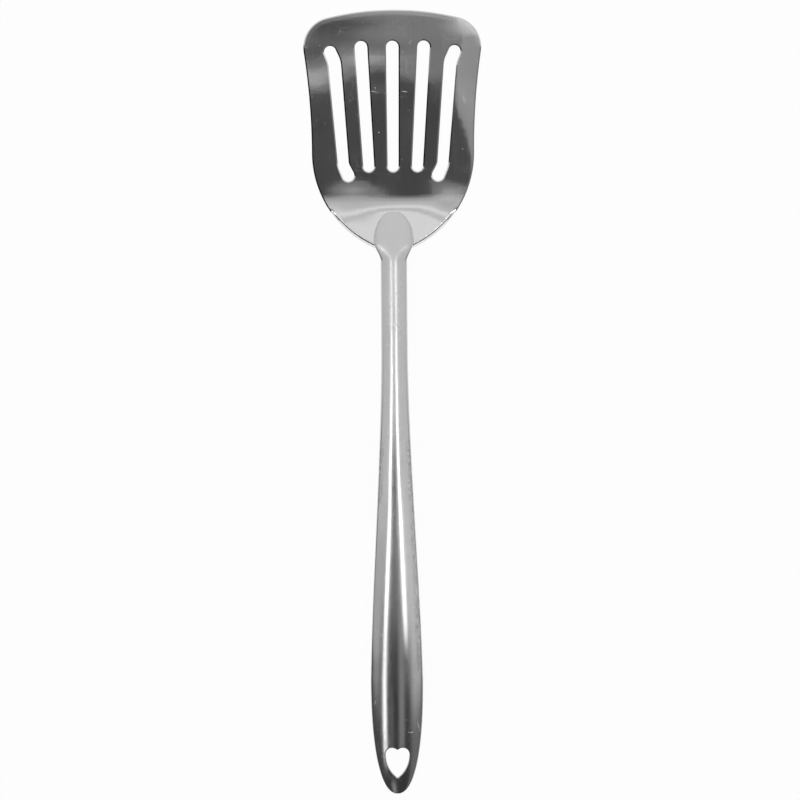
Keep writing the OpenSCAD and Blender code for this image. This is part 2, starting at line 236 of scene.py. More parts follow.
def steelMaterial(name, look):
    material = bpy.data.materials.new(name)
    material.use_nodes = True
    nodes, links = material.node_tree.nodes, material.node_tree.links
    maths, remap = treeTools(material.node_tree)
    shader = nodes["Principled BSDF"]
    shader.inputs["Metallic"].default_value = 1.0
    place = nodes.new("ShaderNodeTexCoord").outputs["Object"]
    where = nodes.new("ShaderNodeSeparateXYZ")
    links.new(place, where.inputs[0])
    placeX, placeY = where.outputs["X"], where.outputs["Y"]

    def stretched(scale):
        mapping = nodes.new("ShaderNodeMapping")
        mapping.inputs["Scale"].default_value = scale
        links.new(place, mapping.inputs["Vector"])
        return mapping.outputs["Vector"]

    def noise(vector, scale, detail=2, roughness=0.5):
        node = nodes.new("ShaderNodeTexNoise")
        node.inputs["Scale"].default_value = scale
        node.inputs["Detail"].default_value = detail
        node.inputs["Roughness"].default_value = roughness
        links.new(vector, node.inputs["Vector"])
        return node.outputs["Fac"]

    brushed = stretched((look["brushAcross"], look["brushAlong"], look["brushAcross"]))
    brush = noise(brushed, 1, *look["brushDetail"])
    smudge = noise(stretched((1, look["smudgeAlong"], 1)), look["smudgeScale"], *look["smudgeDetail"])
    pitShare = remap(noise(place, look["pitScale"]), look["pitEdge"], look["pitEdge"] + look["pitSoft"])

    # fine scratches: thin gaps between stretched cells, kept only where a slow noise is high
    cells = nodes.new("ShaderNodeTexVoronoi")
    cells.feature = "DISTANCE_TO_EDGE"
    cells.inputs["Scale"].default_value = 1
    links.new(stretched((look["scratchAcross"], look["scratchAlong"], look["scratchAcross"])),
              cells.inputs["Vector"])
    thin = remap(cells.outputs["Distance"], 0, look["scratchWidth"], 1, 0)
    scratch = maths("MULTIPLY", thin, remap(noise(place, look["scratchField"]), *look["scratchShare"]))

    # rows of small pits beside the handle's edges: real dents in the bump, and painted shade that darkens
    # their colour
    paintedPitShade, wornDeep = 0.0, 0.0
    outer, inner = look["edgePitBand"]
    fade = look["edgePitFade"]
    for side, edgeX, widening, back, front, depth in look["edgePits"]:
        fromEdge = maths("ADD", maths("MULTIPLY", placeX, side), maths("MULTIPLY", placeY, widening))
        between = maths("MULTIPLY", remap(placeY, back, back + fade),
                        remap(placeY, front - fade, front, 1, 0))
        beside = maths("MULTIPLY", remap(fromEdge, edgeX - inner, edgeX - outer), between)
        row = maths("MULTIPLY", remap(noise(place, look["edgePitScale"], 1), *look["edgePitShare"]), beside)
        paintedPitShade = maths("ADD", row, paintedPitShade)
        wornDeep = maths("ADD", maths("MULTIPLY", row, depth), wornDeep)

    # single marks from use
    marks = 0.0
    for x, y, turn, length, width in look["marks"]:
        mapping = nodes.new("ShaderNodeMapping")
        mapping.vector_type = "TEXTURE"
        mapping.inputs["Location"].default_value = (x / 1000, y / 1000, 0)
        mapping.inputs["Rotation"].default_value = (0, 0, math.radians(turn))
        mapping.inputs["Scale"].default_value = (length / 2000, width / 2000, 10)
        links.new(place, mapping.inputs["Vector"])
        away = nodes.new("ShaderNodeVectorMath")
        away.operation = "LENGTH"
        links.new(mapping.outputs["Vector"], away.inputs[0])
        marks = maths("ADD", marks, remap(away.outputs["Value"], look["markCore"], 1, 1, 0))
    marks = maths("MULTIPLY", marks, remap(brush, *look["markBreaks"]))

    rough = maths("ADD", remap(smudge, *look["smudgeRange"], -look["smudge"], look["smudge"]),
                  remap(brush, *look["brushRange"], -look["brush"], look["brush"]))
    if "roughAlong" in look:
        rough = maths("ADD", rough, remap(placeY, *look["roughAlong"]))
    else:
        rough = maths("ADD", rough, look["roughness"])
    for share, amount in ((scratch, "scratchRough"), (pitShare, "pitRough"), (marks, "markRough")):
        rough = maths("ADD", rough, maths("MULTIPLY", share, look[amount]))
    links.new(rough, shader.inputs["Roughness"])

    tone = nodes.new("ShaderNodeValToRGB")
    for stop, position, colour in zip(tone.color_ramp.elements, look["toneRange"], ("dark", "light")):
        stop.position = position
        stop.color = (*look[colour], 1)
    mean = maths("ADD", maths("MULTIPLY", smudge, 0.5), maths("MULTIPLY", brush, 0.5))
    links.new(mean, tone.inputs["Fac"])
    # painted shade: the colour is darkened inside the pits beside the handle's edges
    pitShadeMix = nodes.new("ShaderNodeMixRGB")
    pitShadeMix.inputs["Color2"].default_value = (*[look["edgePitTone"] * c for c in look["dark"]], 1)
    links.new(tone.outputs["Color"], pitShadeMix.inputs["Color1"])
    links.new(maths("MULTIPLY", paintedPitShade, look["edgePitShade"]), pitShadeMix.inputs["Fac"])
    links.new(pitShadeMix.outputs["Color"], shader.inputs["Base Color"])

    height = maths("MULTIPLY", brush, look["brushDepth"])
    for share, depth in ((scratch, look["scratchDepth"]), (pitShare, look["pitDepth"]), (wornDeep, 1),
                         (marks, look["markDepth"])):
        height = maths("ADD", height, maths("MULTIPLY", share, -depth))
    bump = nodes.new("ShaderNodeBump")
    bump.inputs["Distance"].default_value = 0.001     # depths are in millimetres
    bump.inputs["Strength"].default_value = 1
    links.new(height, bump.inputs["Height"])
    links.new(bump.outputs["Normal"], shader.inputs["Normal"])
    return material


# what all the steel has in common. Scales are repeats per metre, and depths are in millimetres.
steelLook = {
    "toneRange": (0.3, 0.7), "smudgeRange": (0.35, 0.7), "brushRange": (0.3, 0.7),
    "brushAcross": 2600, "brushAlong": 30, "brushDetail": (3, 0.6),
    "smudgeAlong": 0.5, "smudgeDetail": (4, 0.55),
    "pitScale": 900, "pitSoft": 0.03, "pitRough": 0.2, "pitDepth": 0.003,
    "scratchWidth": 0.02, "scratchField": 90, "scratchShare": (0.56, 0.62), "scratchRough": 0.08,
    # rows of pits, in metres: side, where the edge stands and how fast it widens, along from and to, depth
    "edgePits": [], "edgePitScale": 1500, "edgePitShare": (0.49, 0.57), "edgePitBand": (0.0015, 0.003),
    # edgePitTone and edgePitShade set how dark the painted shade in the edge pits is
    "edgePitFade": 0.006, "edgePitTone": 0.5, "edgePitShade": 0.5,
    # single marks, in millimetres: x, y, turn, length, width
    "marks": [], "markCore": 0.3, "markBreaks": (0.3, 0.6, 0.4, 1), "markRough": 0.2, "markDepth": 0.005,
}
handleLook = dict(
    steelLook, dark=(0.58, 0.58, 0.585), light=(0.65, 0.65, 0.655),
    smudge=0.02, smudgeScale=60, brush=0.015,
    roughAlong=(-0.13, 0.02, 0.125, 0.235),      # polished at the grip's end, satin at the neck
    brushDepth=0.0003, pitEdge=0.72, scratchAcross=260, scratchAlong=120, scratchDepth=0.0004,
    edgePits=[(-1, 0.0066, 0.043, -0.048, -0.016, 0.1), (1, 0.0066, 0.043, -0.125, -0.016, 0.06)],
    marks=[(-10.0, -137.5, 70, 3.6, 0.5), (6.2, -151.6, 8, 3.0, 0.7), (9.9, -149.0, -75, 6.3, 0.6)],
    markRough=0.4, markDepth=0.02)
bladeLook = dict(
    steelLook, dark=(0.72, 0.72, 0.72), light=(0.79, 0.79, 0.79), roughness=0.085,
    smudge=0.015, smudgeScale=45, brush=0.006,
    brushDepth=0.00008, pitEdge=0.76, scratchAcross=150, scratchAlong=150, scratchDepth=0.0002,
    marks=[(-8.4, 142.6, -12, 5.4, 0.5), (-8.0, 144.2, 85, 2.2, 0.4), (5.4, 142.6, -8, 4.2, 0.5),
           (-22.2, 138, 80, 1.8, 0.6)])
weldLook = dict(bladeLook, marks=[], roughness=0.42, brushAcross=1200, brushAlong=400, brushDepth=0.001,
                pitEdge=0.66)

handleSteel = steelMaterial("handleSteel", handleLook)
bladeSteel = steelMaterial("bladeSteel", bladeLook)
weldSteel = steelMaterial("weldSteel", weldLook)
print("materials ready")


# turning a bmesh into a finished piece

def finishPiece(bm, name, material, nodeName, groups=None, sharp=None):
    bmesh.ops.scale(bm, vec=(0.001,) * 3, verts=bm.verts)
    bm.normal_update()
    mesh = bpy.data.meshes.new(name)
    bm.to_mesh(mesh)
    bm.free()
    piece = bpy.data.objects.new(name, mesh)
    bpy.context.scene.collection.objects.link(piece)
    mesh.materials.append(material)
    mesh.shade_smooth()
    if groups is not None:
        setNormals(mesh, groups)
    if sharp is not None:
        mesh.set_sharp_from_angle(angle=math.radians(sharp))
    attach(piece, "root")
    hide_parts(nodeName)
    print("piece", name, len(mesh.polygons), "faces")


# each group of faces has its own smooth shine, with a crisp line where two groups meet
def setNormals(mesh, groups):
    count = len(mesh.vertices)
    sums = {group: np.zeros((count, 3)) for group in set(groups)}
    for face, group in zip(mesh.polygons, groups):
        n = np.array(face.normal) * face.area
        for v in face.vertices:
            sums[group][v] += n
    normals = []
    for face, group in zip(mesh.polygons, groups):
        for v in face.vertices:
            n = sums[group][v]
            normals.append(tuple(n / max(1e-15, np.linalg.norm(n))))
    mesh.normals_split_custom_set(normals)


# blade

bladeForm = {
    "arcSteps": {"front": 18, "corner": 40, "waist": 24, "heel": 40, "tang": 8},
    "flareTuck": 0.25, "tangTuck": 0.5,     # how far the flare and the tang stand inside the shells
    "rings": [0.3, 0.6, 0.9, 1.1, 1.45, 1.6, 2.3],      # distances inside every edge that get a line
    "chamfer": 0.6, "chamferSlope": 38,     # the broken edge all round
    "groundWidth": 2.3, "groundDrop": 0.03,
    # the rear lip turns down in two folds: distance inside the edge, run of the fold, slope
    "lipFolds": [(1.6, 0.15, 32), (1.1, 0.2, 55)],
    "lipGap": 6, "lipRun": 9,               # how far behind the bend the lip begins, and how soon it is full
    # rows and columns of points, and finer rows from behind the bend to before it
    "rowStep": 1.6, "columnStep": 2.0, "columnsTo": 40, "bendStep": 0.5, "bendRows": (6, 4),
    # the front third leans down a little, so the blade's middle stands a little high
    "frontFall": 0.9, "frontFallFrom": 148, "frontFallRun": 12, "frontLift": 0.3,
    "easeFrom": 92, "fallEase": 40, "liftEase": 60,     # where both set in, and how slowly
    # lengths of the bend's two stages, the second one longer away from the middle
    "bendFront": 5.6, "bendMiddle": 2.5, "bendSides": 6.0, "bendSpread": 23, "bendMost": 1.6,
    "heelEnd": 4,                           # the heel passes into the tang this far in front of the neck
    # where the right margin starts to fall away, place along the blade and across it
    "marginLine": [(182, 24.5), (168, 31), (160, 28.5), (148, 26.5), (136, 28), (125, 31.5), (112, 34.5),
                   (95, 35.5)],
    "marginSlope": 1.9, "marginRun": 3.0,
    # slow dents and swellings of the pressed sheet: x, y, size across, size along, height
    "swellings": [
        (-18, 92, 14, 8, 0.446), (30, 92, 14, 8, 0.457), (24, 92, 6, 3.5, 0.074),
        (36, 104, 10, 5, 0.13), (18, 104, 6, 3.5, -0.06),
        (12, 144, 14, 8, 0.158), (0, 144, 16, 3.5, -0.04),
        (-36, 148, 6, 3.5, -0.05), (-6, 148, 6, 3.5, -0.045), (-36, 152, 6, 3.5, -0.05),
        (-36, 156, 14, 8, -0.33), (-6, 160, 16, 3.5, -0.04), (-18, 164, 14, 8, -0.135),
        (-36, 168, 14, 8, -0.15), (-12, 172, 16, 3.5, -0.03), (36, 176, 10, 5, -0.15)],
}
slotForm = {
    "frontWidth": 5.8, "heelWidth": 5.0, "inset": 14.3, "length": 60.1,
    "frontPitch": 14.4, "heelPitch": 11.2, "outerShift": 4.4,
    "hookWidth": 5.5, "hookThrow": 2.2, "hookLength": 4.7, "frontLean": 0.2, "heelLean": 0.44,
    "step": 4, "endSteps": 16,
}


def drawArc(bm, centre, start, degrees, steps):
    first = bm.verts.new(start)
    made = bmesh.ops.spin(bm, geom=[first], cent=centre, axis=(0, 0, 1), angle=math.radians(degrees),
                          steps=steps, use_merge=False, use_duplicate=False)
    last = [g for g in made["geom_last"] if isinstance(g, bmesh.types.BMVert)][0]
    return first, last


def onCircle(centre, radius, degrees):
    a = math.radians(degrees)
    return Vector((centre[0] + radius * math.cos(a), centre[1] + radius * math.sin(a), 0))


def join(bm, a, b):
    if (a.co - b.co).length < 1e-4:
        return
    bm.edges.new((a, b))


def drawOutline(bm):
    r, corner = turner["frontRadius"], turner["cornerRadius"]
    cx = bladeHalf - corner
    cy = frontCentre.y + math.sqrt((r - corner) ** 2 - cx ** 2)
    inset, down = waistX - cx, waistY - cy
    sideR = (inset ** 2 + down ** 2 - corner ** 2) / (2 * (corner - inset))
    sideAngle = math.degrees(math.atan2(down, waistX + sideR - cx))
    frontAngle = math.degrees(math.atan2(cy - frontCentre.y, cx))
    heelR = turner["heelRadius"]
    heelAngle = -math.degrees(math.acos((heelEndX - heelX) / heelR))
    tangHalf = neckHalf - bladeForm["tangTuck"]
    steps = bladeForm["arcSteps"]
    pieces = [
        drawArc(bm, frontCentre, onCircle(frontCentre, r, 90), frontAngle - 90, steps["front"]),
        drawArc(bm, (cx, cy, 0), onCircle((cx, cy), corner, frontAngle),
                sideAngle - frontAngle, steps["corner"]),
        drawArc(bm, (waistX + sideR, waistY, 0), onCircle((waistX + sideR, waistY), sideR, 180 + sideAngle),
                -sideAngle, steps["waist"]),
        drawArc(bm, (heelX, waistY, 0), onCircle((heelX, waistY), heelR, 0), heelAngle, steps["heel"]),
    ]
    flare = [bm.verts.new((frontHalf(y) - bladeForm["flareTuck"], y, 0))
             for y in np.linspace(heelEndY - 1, neckY, 6)]
    tang = [bm.verts.new((tangHalf, neckY - 1, 0)), bm.verts.new((tangHalf, tangY + tangHalf, 0))]
    for a, b in zip(flare + tang, (flare + tang)[1:]):
        bm.edges.new((a, b))
    pieces += [(flare[0], tang[-1]),
               drawArc(bm, (0, tangY + tangHalf, 0), (tangHalf, tangY + tangHalf, 0), -90, steps["tang"])]
    for piece, following in zip(pieces, pieces[1:]):
        join(bm, piece[1], following[0])
    bmesh.ops.mirror(bm, geom=bm.verts[:] + bm.edges[:], axis="X", merge_dist=1e-3)
    bmesh.ops.remove_doubles(bm, verts=bm.verts, dist=1e-3)


# each slot's middle line as a list of places: x, y and half the slot's width there
def slotPaths():
    s = slotForm
    front = frontY - s["inset"] - s["frontWidth"] / 2
    heel = frontY - s["inset"] - s["length"] + s["heelWidth"] / 2
    paths = [[(i * s["frontPitch"], front, s["frontWidth"] / 2),
              (i * s["heelPitch"], heel, s["heelWidth"] / 2)] for i in (-1, 0, 1)]
    hookFront = front - s["outerShift"] / 2 + s["frontWidth"] / 2 - s["hookWidth"] / 2
    hookHeel = heel - s["outerShift"] + s["hookWidth"] / 2 - s["heelWidth"] / 2
    outerFront = 2 * s["frontPitch"] - s["hookThrow"]
    outerHeel = 2 * s["heelPitch"] + s["heelLean"]
    for side in (-1, 1):
        hookX = outerFront + s["hookThrow"] - s["frontLean"]
        paths.append([(side * hookX, hookFront, s["hookWidth"] / 2),
                      (side * outerFront, hookFront - s["hookLength"], s["frontWidth"] / 2),
                      (side * outerHeel, hookHeel + s["hookLength"], s["heelWidth"] / 2),
                      (side * (outerHeel - s["hookThrow"]), hookHeel, s["hookWidth"] / 2)])
    return paths


# a line through the given places, rounded where it turns
def smoothed(path, corner=1.6, steps=5):
    points = [Vector(p) for p in path]
    out = [points[0]]
    for before, here, after in zip(points, points[1:], points[2:]):
        a = here + (before - here).normalized() * min(corner, (before - here).length / 2)
        b = here + (after - here).normalized() * min(corner, (after - here).length / 2)
        out += [(a.lerp(here, t)).lerp(here.lerp(b, t), t) for t in np.linspace(0, 1, steps)]
    return out + [points[-1]]


def drawSlot(bm, path):
    line = smoothed(path) if len(path) > 2 else [Vector(p) for p in path]
    fine = []
    for a, b in zip(line, line[1:]):
        n = max(1, int((a - b).length / slotForm["step"]))
        fine += [a.lerp(b, i / n) for i in range(n)]
    fine.append(line[-1])
    sides = []
    for i, p in enumerate(fine):
        d = fine[min(i + 1, len(fine) - 1)] - fine[max(i - 1, 0)]
        d = Vector((d.x, d.y)).normalized()
        sides.append((Vector((p.x, p.y, 0)), Vector((-d.y, d.x, 0)), p.z))
    left = [bm.verts.new(p + n * r) for p, n, r in sides]
    right = [bm.verts.new(p - n * r) for p, n, r in sides]
    for row in (left, right):
        for a, b in zip(row, row[1:]):
            bm.edges.new((a, b))
    for (p, n, r), a, b, turn in ((sides[0], left[0], right[0], 1), (sides[-1], left[-1], right[-1], -1)):
        first, last = drawArc(bm, p, p + n * r, 180 * turn, slotForm["endSteps"])
        bmesh.ops.pointmerge(bm, verts=[first, a], merge_co=a.co)
        bmesh.ops.pointmerge(bm, verts=[last, b], merge_co=b.co)


# how far a point lies inside the front edge, and inside the heel's two rear edges
def insideFront(x, y):
    corner = turner["cornerRadius"]
    cx = bladeHalf - corner
    cy = frontCentre.y + math.sqrt((turner["frontRadius"] - corner) ** 2 - cx ** 2)
    if y < cy:
        return math.inf
    if abs(x) < cx + (y - cy) * cx / (cy - frontCentre.y):
        return turner["frontRadius"] - math.hypot(x, y - frontCentre.y)
    return corner - math.hypot(abs(x) - cx, y - cy)


def insideRear(x, y):
    return turner["heelRadius"] - math.hypot(abs(x) - heelX, y - waistY)


# the bend: a first stage of even length, then a second one that is longer toward the sides
def bendZ(x, y):
    form = bladeForm
    first = form["bendFront"]
    second = form["bendMiddle"] + form["bendSides"] * min(form["bendMost"], (x / form["bendSpread"]) ** 2)
    start = bendY - turner["bendLength"] / 2 + first * 0.75 + form["bendMiddle"] / 4
    t = start - y
    if t <= 0:
        return 0
    if t < first:
        return rise * t * t / (4 * first)
    u = t - first
    if u < second:
        return rise * (first / 4 + u / 2 + u * u / (4 * second))
    return rise * (first / 4 + second * 0.75 + u - second)


# height of the middle of the sheet anywhere on the blade, with its slow dents
def bladeZ(x, y):
    form = bladeForm
    if y <= neckY + form["heelEnd"]:
        return midZ(y)
    z = turner["sheet"] / 2 + bendZ(x, y)
    run = form["frontFallRun"]
    fromEnd = frontY - form["frontFallFrom"] - run / 2 - turnedLine(y - form["frontFallFrom"], run)
    z += slopeOf(form["frontFall"]) * fromEnd * ease((y - form["easeFrom"]) / form["fallEase"])
    z += form["frontLift"] * ease((y - form["easeFrom"]) / form["liftEase"])
    line = form["marginLine"]
    edge = np.interp(y, [p[0] for p in line[::-1]], [p[1] for p in line[::-1]])
    z -= slopeOf(form["marginSlope"]) * turnedLine(x - edge, form["marginRun"])
    for cx, cy, wide, long, high in form["swellings"]:
        z += high * math.exp(-((x - cx) / wide) ** 2 - ((y - cy) / long) ** 2)
    return z


# a straight row of new points across the whole flat blade
def cutAt(bm, place, direction):
    bmesh.ops.bisect_plane(bm, geom=bm.verts[:] + bm.edges[:] + bm.faces[:], dist=1e-4,
                           plane_co=place, plane_no=direction)


def makeBlade():
    form = bladeForm
    bm = bmesh.new()
    drawOutline(bm)
    for path in slotPaths():
        drawSlot(bm, path)
    bmesh.ops.triangle_fill(bm, use_beauty=True, use_dissolve=False, edges=bm.edges[:])
    depthLayer = bm.verts.layers.float.new("inside")
    inner = bm.faces[:]
    done = 0.0
    for distance in form["rings"]:
        made = bmesh.ops.inset_region(bm, faces=inner, use_boundary=True, use_even_offset=True,
                                      thickness=distance - done, depth=0)
        # the new ring runs from the last distance, outside, to this one, inside
        innerVerts = {v for face in inner for v in face.verts}
        ringVerts = {v for face in made["faces"] for v in face.verts}
        for v in ringVerts:
            v[depthLayer] = distance if v in innerVerts else done
        done = distance
    behind, before = form["bendRows"]
    for y in np.arange(tangY, frontY, form["rowStep"]):
        cutAt(bm, (0, y, 0), (0, 1, 0))
    for y in np.arange(bendY - turner["bendLength"] - behind, bendY + before, form["bendStep"]):
        cutAt(bm, (0, y, 0), (0, 1, 0))
    for x in np.arange(-form["columnsTo"], form["columnsTo"] + 0.01, form["columnStep"]):
        cutAt(bm, (x, 0, 0), (1, 0, 0))
    # the two sides stand this far apart until every point gets its real height
    apart = 2
    made = bmesh.ops.extrude_face_region(bm, geom=bm.faces[:])
    topVerts = [g for g in made["geom"] if isinstance(g, bmesh.types.BMVert)]
    bmesh.ops.translate(bm, verts=topVerts, vec=(0, 0, apart))
    bmesh.ops.recalc_face_normals(bm, faces=bm.faces)
    bm.normal_update()
    groups = []
    for face in bm.faces:
        inside = min(v[depthLayer] for v in face.verts)
        if abs(face.normal.z) < 0.9:
            groups.append("wall")
        else:
            groups.append("main" if inside >= form["chamfer"] - 1e-3 else "chamfer")
    half = turner["sheet"] / 2
    chamfer = slopeOf(form["chamferSlope"])
    for v in bm.verts:
        x, y, side = v.co.x, v.co.y, (1 if v.co.z > apart / 2 else -1)
        thick = half - chamfer * max(0, form["chamfer"] - v[depthLayer])
        if side > 0:
            g = insideFront(x, y)
            if g < form["groundWidth"]:
                thick -= form["groundDrop"] * (1 - g / form["groundWidth"])
        z = bladeZ(x, y) + side * thick
        if heelEndY - 1 < y < bendY - form["lipGap"]:
            full = ease((bendY - form["lipGap"] - y) / form["lipRun"])
            turned = 0.0
            for width, roll, slope in form["lipFolds"]:
                steeper = slopeOf(slope) - turned
                turned += steeper
                z -= steeper * full * turnedLine(width - max(0, insideRear(x, y)), roll)
        v.co.z = z
    finishPiece(bm, "slottedBlade", bladeSteel, "blade", groups)


makeBlade()


# shells
shellForm = {
    "across": 56, "noseRows": 56, "neckRows": 24, "taperRows": 80, "tailRows": 48,
    "wall": 0.8,
    "leastHeight": 0.02, "leastInside": (0.2, 0.01),    # where the shell tapers out: half width and height
    # small dents in the front shell's nose: x, y, size across, size along, depth
    "dents": [(-5.9, 77.6, 1.3, 0.5, 0.13), (5.6, 77.6, 1.2, 0.5, 0.13)],
}


# places along the handle, closer together at its two ends
def rowsFrom(topY):
    form = shellForm
    nose = [topY - (topY - neckY) * (1 - math.cos(a))
            for a in np.linspace(0, math.pi / 2, form["noseRows"])]
    neck = list(np.linspace(neckY, taperY, form["neckRows"])[1:])
    taper = list(np.linspace(taperY, gripY, form["taperRows"])[1:])
    tail = [gripY - (gripY - endY) * math.sin(a)
            for a in np.linspace(0, math.pi / 2, form["tailRows"])[1:]]
    return nose + neck + taper + tail


# one point of a shell's section: u runs from 0 at -X to 1 at +X
def sectionPoint(y, w, base, h, u):
    s = math.sin(math.pi * (u - 0.5))
    return Vector((w * s, y, base + h * sectionShare(y, s)))


# a closed tube from a grid: place(u, y) gives the point, u goes round it and y is one of the rows
def gridTube(bm, around, rows, place):
    made = bmesh.ops.create_grid(bm, x_segments=around, y_segments=len(rows) - 1, size=0.5)
    for v in made["verts"]:
        u, row = v.co.x + 0.5, round((v.co.y + 0.5) * (len(rows) - 1))
        v.co = place(u, rows[row])
    bmesh.ops.remove_doubles(bm, verts=bm.verts, dist=1e-5)


# heart-shaped hanging hole

heartForm = {
    "width": 10.9, "lobe": 2.97, "side": 13.5, "back": 18.2,
    "sleeveWall": 0.7, "sleeveFoot": 0.6, "rimRound": 0.42, "notchRound": 0.6,
    "halfSteps": 22, "rimSteps": 7, "cutFrom": -5, "cutHeight": 50,
}
heartY = endY + heartForm["back"]


# right half of the heart from its tip to the notch between the lobes, each point with its outward direction
def heartHalf():
    half = heartForm["width"] / 2
    lobeX, sideX = half - heartForm["lobe"], heartForm["side"] - half
    tip = math.acos(sideX / heartForm["side"])
    notch = math.pi - math.acos(lobeX / heartForm["lobe"])
    side = [(-sideX, heartForm["side"], a) for a in np.linspace(-tip, 0, heartForm["halfSteps"])]
    lobe = [(lobeX, heartForm["lobe"], a) for a in np.linspace(0, notch, heartForm["halfSteps"])[1:]]
    return [(Vector((x + r * math.cos(a), heartY + r * math.sin(a), 0)),
             Vector((math.cos(a), math.sin(a), 0))) for x, r, a in side + lobe]


# the heart's outline, moved outward by the margin
def heartRing(margin):
    lobeX = heartForm["width"] / 2 - heartForm["lobe"]
    # the notch is rounded: inside this width the two lobes meet in a flat curve
    r = heartForm["notchRound"]
    high = math.sqrt((heartForm["lobe"] + margin) ** 2 - (r - lobeX) ** 2)
    steep = (lobeX - r) / high
    notchY = heartY + high - steep * r / 2
    sideX = heartForm["side"] - heartForm["width"] / 2
    tipY = heartY - math.sqrt((heartForm["side"] + margin) ** 2 - sideX ** 2)
    right = []
    for p, n in heartHalf():
        q = p + n * margin
        if q.x < r and q.y > heartY:
            x = max(0, q.x)
            q = Vector((x, notchY + steep * x * x / (2 * r), 0))
        right.append(q)
    right[0] = Vector((0, tipY, 0))
    right[-1] = Vector((0, notchY, 0))
    return right + [Vector((-q.x, q.y, 0)) for q in right[-2:0:-1]]


# takes the heart's shape out of a shell
def cutHeart(bm, margin):
    mesh = bpy.data.meshes.new("cutShell")
    bm.to_mesh(mesh)
    bm.clear()
    body = bpy.data.objects.new("cutShell", mesh)
    cutterMesh = bpy.data.meshes.new("cutter")
    cutter = bpy.data.objects.new("cutter", cutterMesh)
    for o in (body, cutter):
        bpy.context.scene.collection.objects.link(o)
    tool = bmesh.new()
    verts = [tool.verts.new((p.x, p.y, heartForm["cutFrom"])) for p in heartRing(margin)]
    face = tool.faces.new(verts)
    made = bmesh.ops.extrude_face_region(tool, geom=[face])
    top = [g for g in made["geom"] if isinstance(g, bmesh.types.BMVert)]
    bmesh.ops.translate(tool, verts=top, vec=(0, 0, heartForm["cutHeight"]))
    bmesh.ops.recalc_face_normals(tool, faces=tool.faces)
    tool.to_mesh(cutterMesh)
    tool.free()
    cut = body.modifiers.new("cut", "BOOLEAN")
    cut.operation, cut.solver, cut.object = "DIFFERENCE", "EXACT", cutter
    graph = bpy.context.evaluated_depsgraph_get()
    bm.from_mesh(body.evaluated_get(graph).data)
    for o, data in ((body, mesh), (cutter, cutterMesh)):
        bpy.data.objects.remove(o)
        bpy.data.meshes.remove(data)


# height of the handle's outside: side is 1 above and -1 below
def crownAt(side, x, y):
    return midZ(y) + side * (halfGap(y) + heightAt(side, x, y))


def makeSleeve():
    wall, r = heartForm["sleeveWall"], heartForm["rimRound"]
    # margins outside the hole and depths below the crown, from the outer edge over the rim into the hole
    rim = [(wall, 0), (mix(r, wall, 0.5), 0)]
    for a in np.linspace(0, math.pi / 2, heartForm["rimSteps"]):
        rim.append((r - r * math.sin(a), r - r * math.cos(a)))
    rings = [(m, d, 1) for m, d in rim] + [(m, d, -1) for m, d in reversed(rim)]
    rings.append((wall, heartForm["sleeveFoot"], -1))
    bm = bmesh.new()
    outlines = {m: heartRing(m) for m in {m for m, d, s in rings}}
    count = len(heartRing(0))
    made = bmesh.ops.create_grid(bm, x_segments=count, y_segments=len(rings), size=0.5)
    for v in made["verts"]:
        i = round((v.co.x + 0.5) * count) % count
        m, d, side = rings[round((v.co.y + 0.5) * len(rings)) % len(rings)]
        p = outlines[m][i]
        v.co = (p.x, p.y, crownAt(side, p.x, p.y) - side * d)
    bmesh.ops.remove_doubles(bm, verts=bm.verts, dist=1e-5)
    bmesh.ops.recalc_face_normals(bm, faces=bm.faces)
    finishPiece(bm, "hangHoleSleeve", handleSteel, "hang_hole_collar", sharp=60)


def makeShell(side, name, nodeName, topY):
    half = frontHalf if side > 0 else backHalf
    high = frontHeight if side > 0 else backDepth
    wall = shellForm["wall"]
    leastHalf, least = shellForm["leastInside"]
    bm = bmesh.new()

    # u goes round the section: the outside up to one half, then back along the inside
    def place(u, y):
        base = midZ(y) + side * halfGap(y)
        w, h = half(y), max(shellForm["leastHeight"], high(y))
        if u <= 0.5:
            point = sectionPoint(y, w, base, side * h, 2 * u)
            if side > 0:
                for cx, cy, wide, long, deep in shellForm["dents"]:
                    point.z -= deep * math.exp(-((point.x - cx) / wide) ** 2 - ((y - cy) / long) ** 2)
            return point
        return sectionPoint(y, max(leastHalf, w - wall), base, side * max(least, h - wall), 2 - 2 * u)

    gridTube(bm, 2 * shellForm["across"], rowsFrom(topY), place)
    bmesh.ops.holes_fill(bm, edges=[e for e in bm.edges if e.is_boundary], sides=0)
    bmesh.ops.triangulate(bm, faces=[f for f in bm.faces if len(f.verts) > 4])
    bmesh.ops.recalc_face_normals(bm, faces=bm.faces)
    cutHeart(bm, heartForm["sleeveWall"])
    finishPiece(bm, name, handleSteel, nodeName, sharp=35)


makeShell(1, "frontShell", "handle_front_shell", noseY)
makeShell(-1, "backShell", "handle_back_shell", backNoseY)
makeSleeve()


# welds
weldForm = {
    "seamWidth": 0.45, "seamSteps": 7, "ripple": 0.02, "rippleLength": 1.1,
    # the fillets: their leg, how much of it laps onto the shell at its sides and front, where they start
    "leg": 0.3, "filletSteps": 8, "lapSides": 1 / 8, "lapFront": 1 / 3, "noseFrom": 1.5, "heelFrom": -2.0,
}


# a closed bar through equal rings of points
def gridBar(bm, rings):
    size = len(rings[0])
    made = bmesh.ops.create_grid(bm, x_segments=size, y_segments=len(rings) - 1, size=0.5)
    for v in made["verts"]:
        v.co = rings[round((v.co.y + 0.5) * (len(rings) - 1))][round((v.co.x + 0.5) * size) % size]
    bmesh.ops.remove_doubles(bm, verts=bm.verts, dist=1e-6)
    bmesh.ops.holes_fill(bm, edges=[e for e in bm.edges if e.is_boundary], sides=0)
    bmesh.ops.recalc_face_normals(bm, faces=bm.faces)


# the direction that points out from a path's middle, square to it
def outward(path, i):
    d = path[min(i + 1, len(path) - 1)] - path[max(i - 1, 0)]
    return Vector((d.y, -d.x)).normalized()


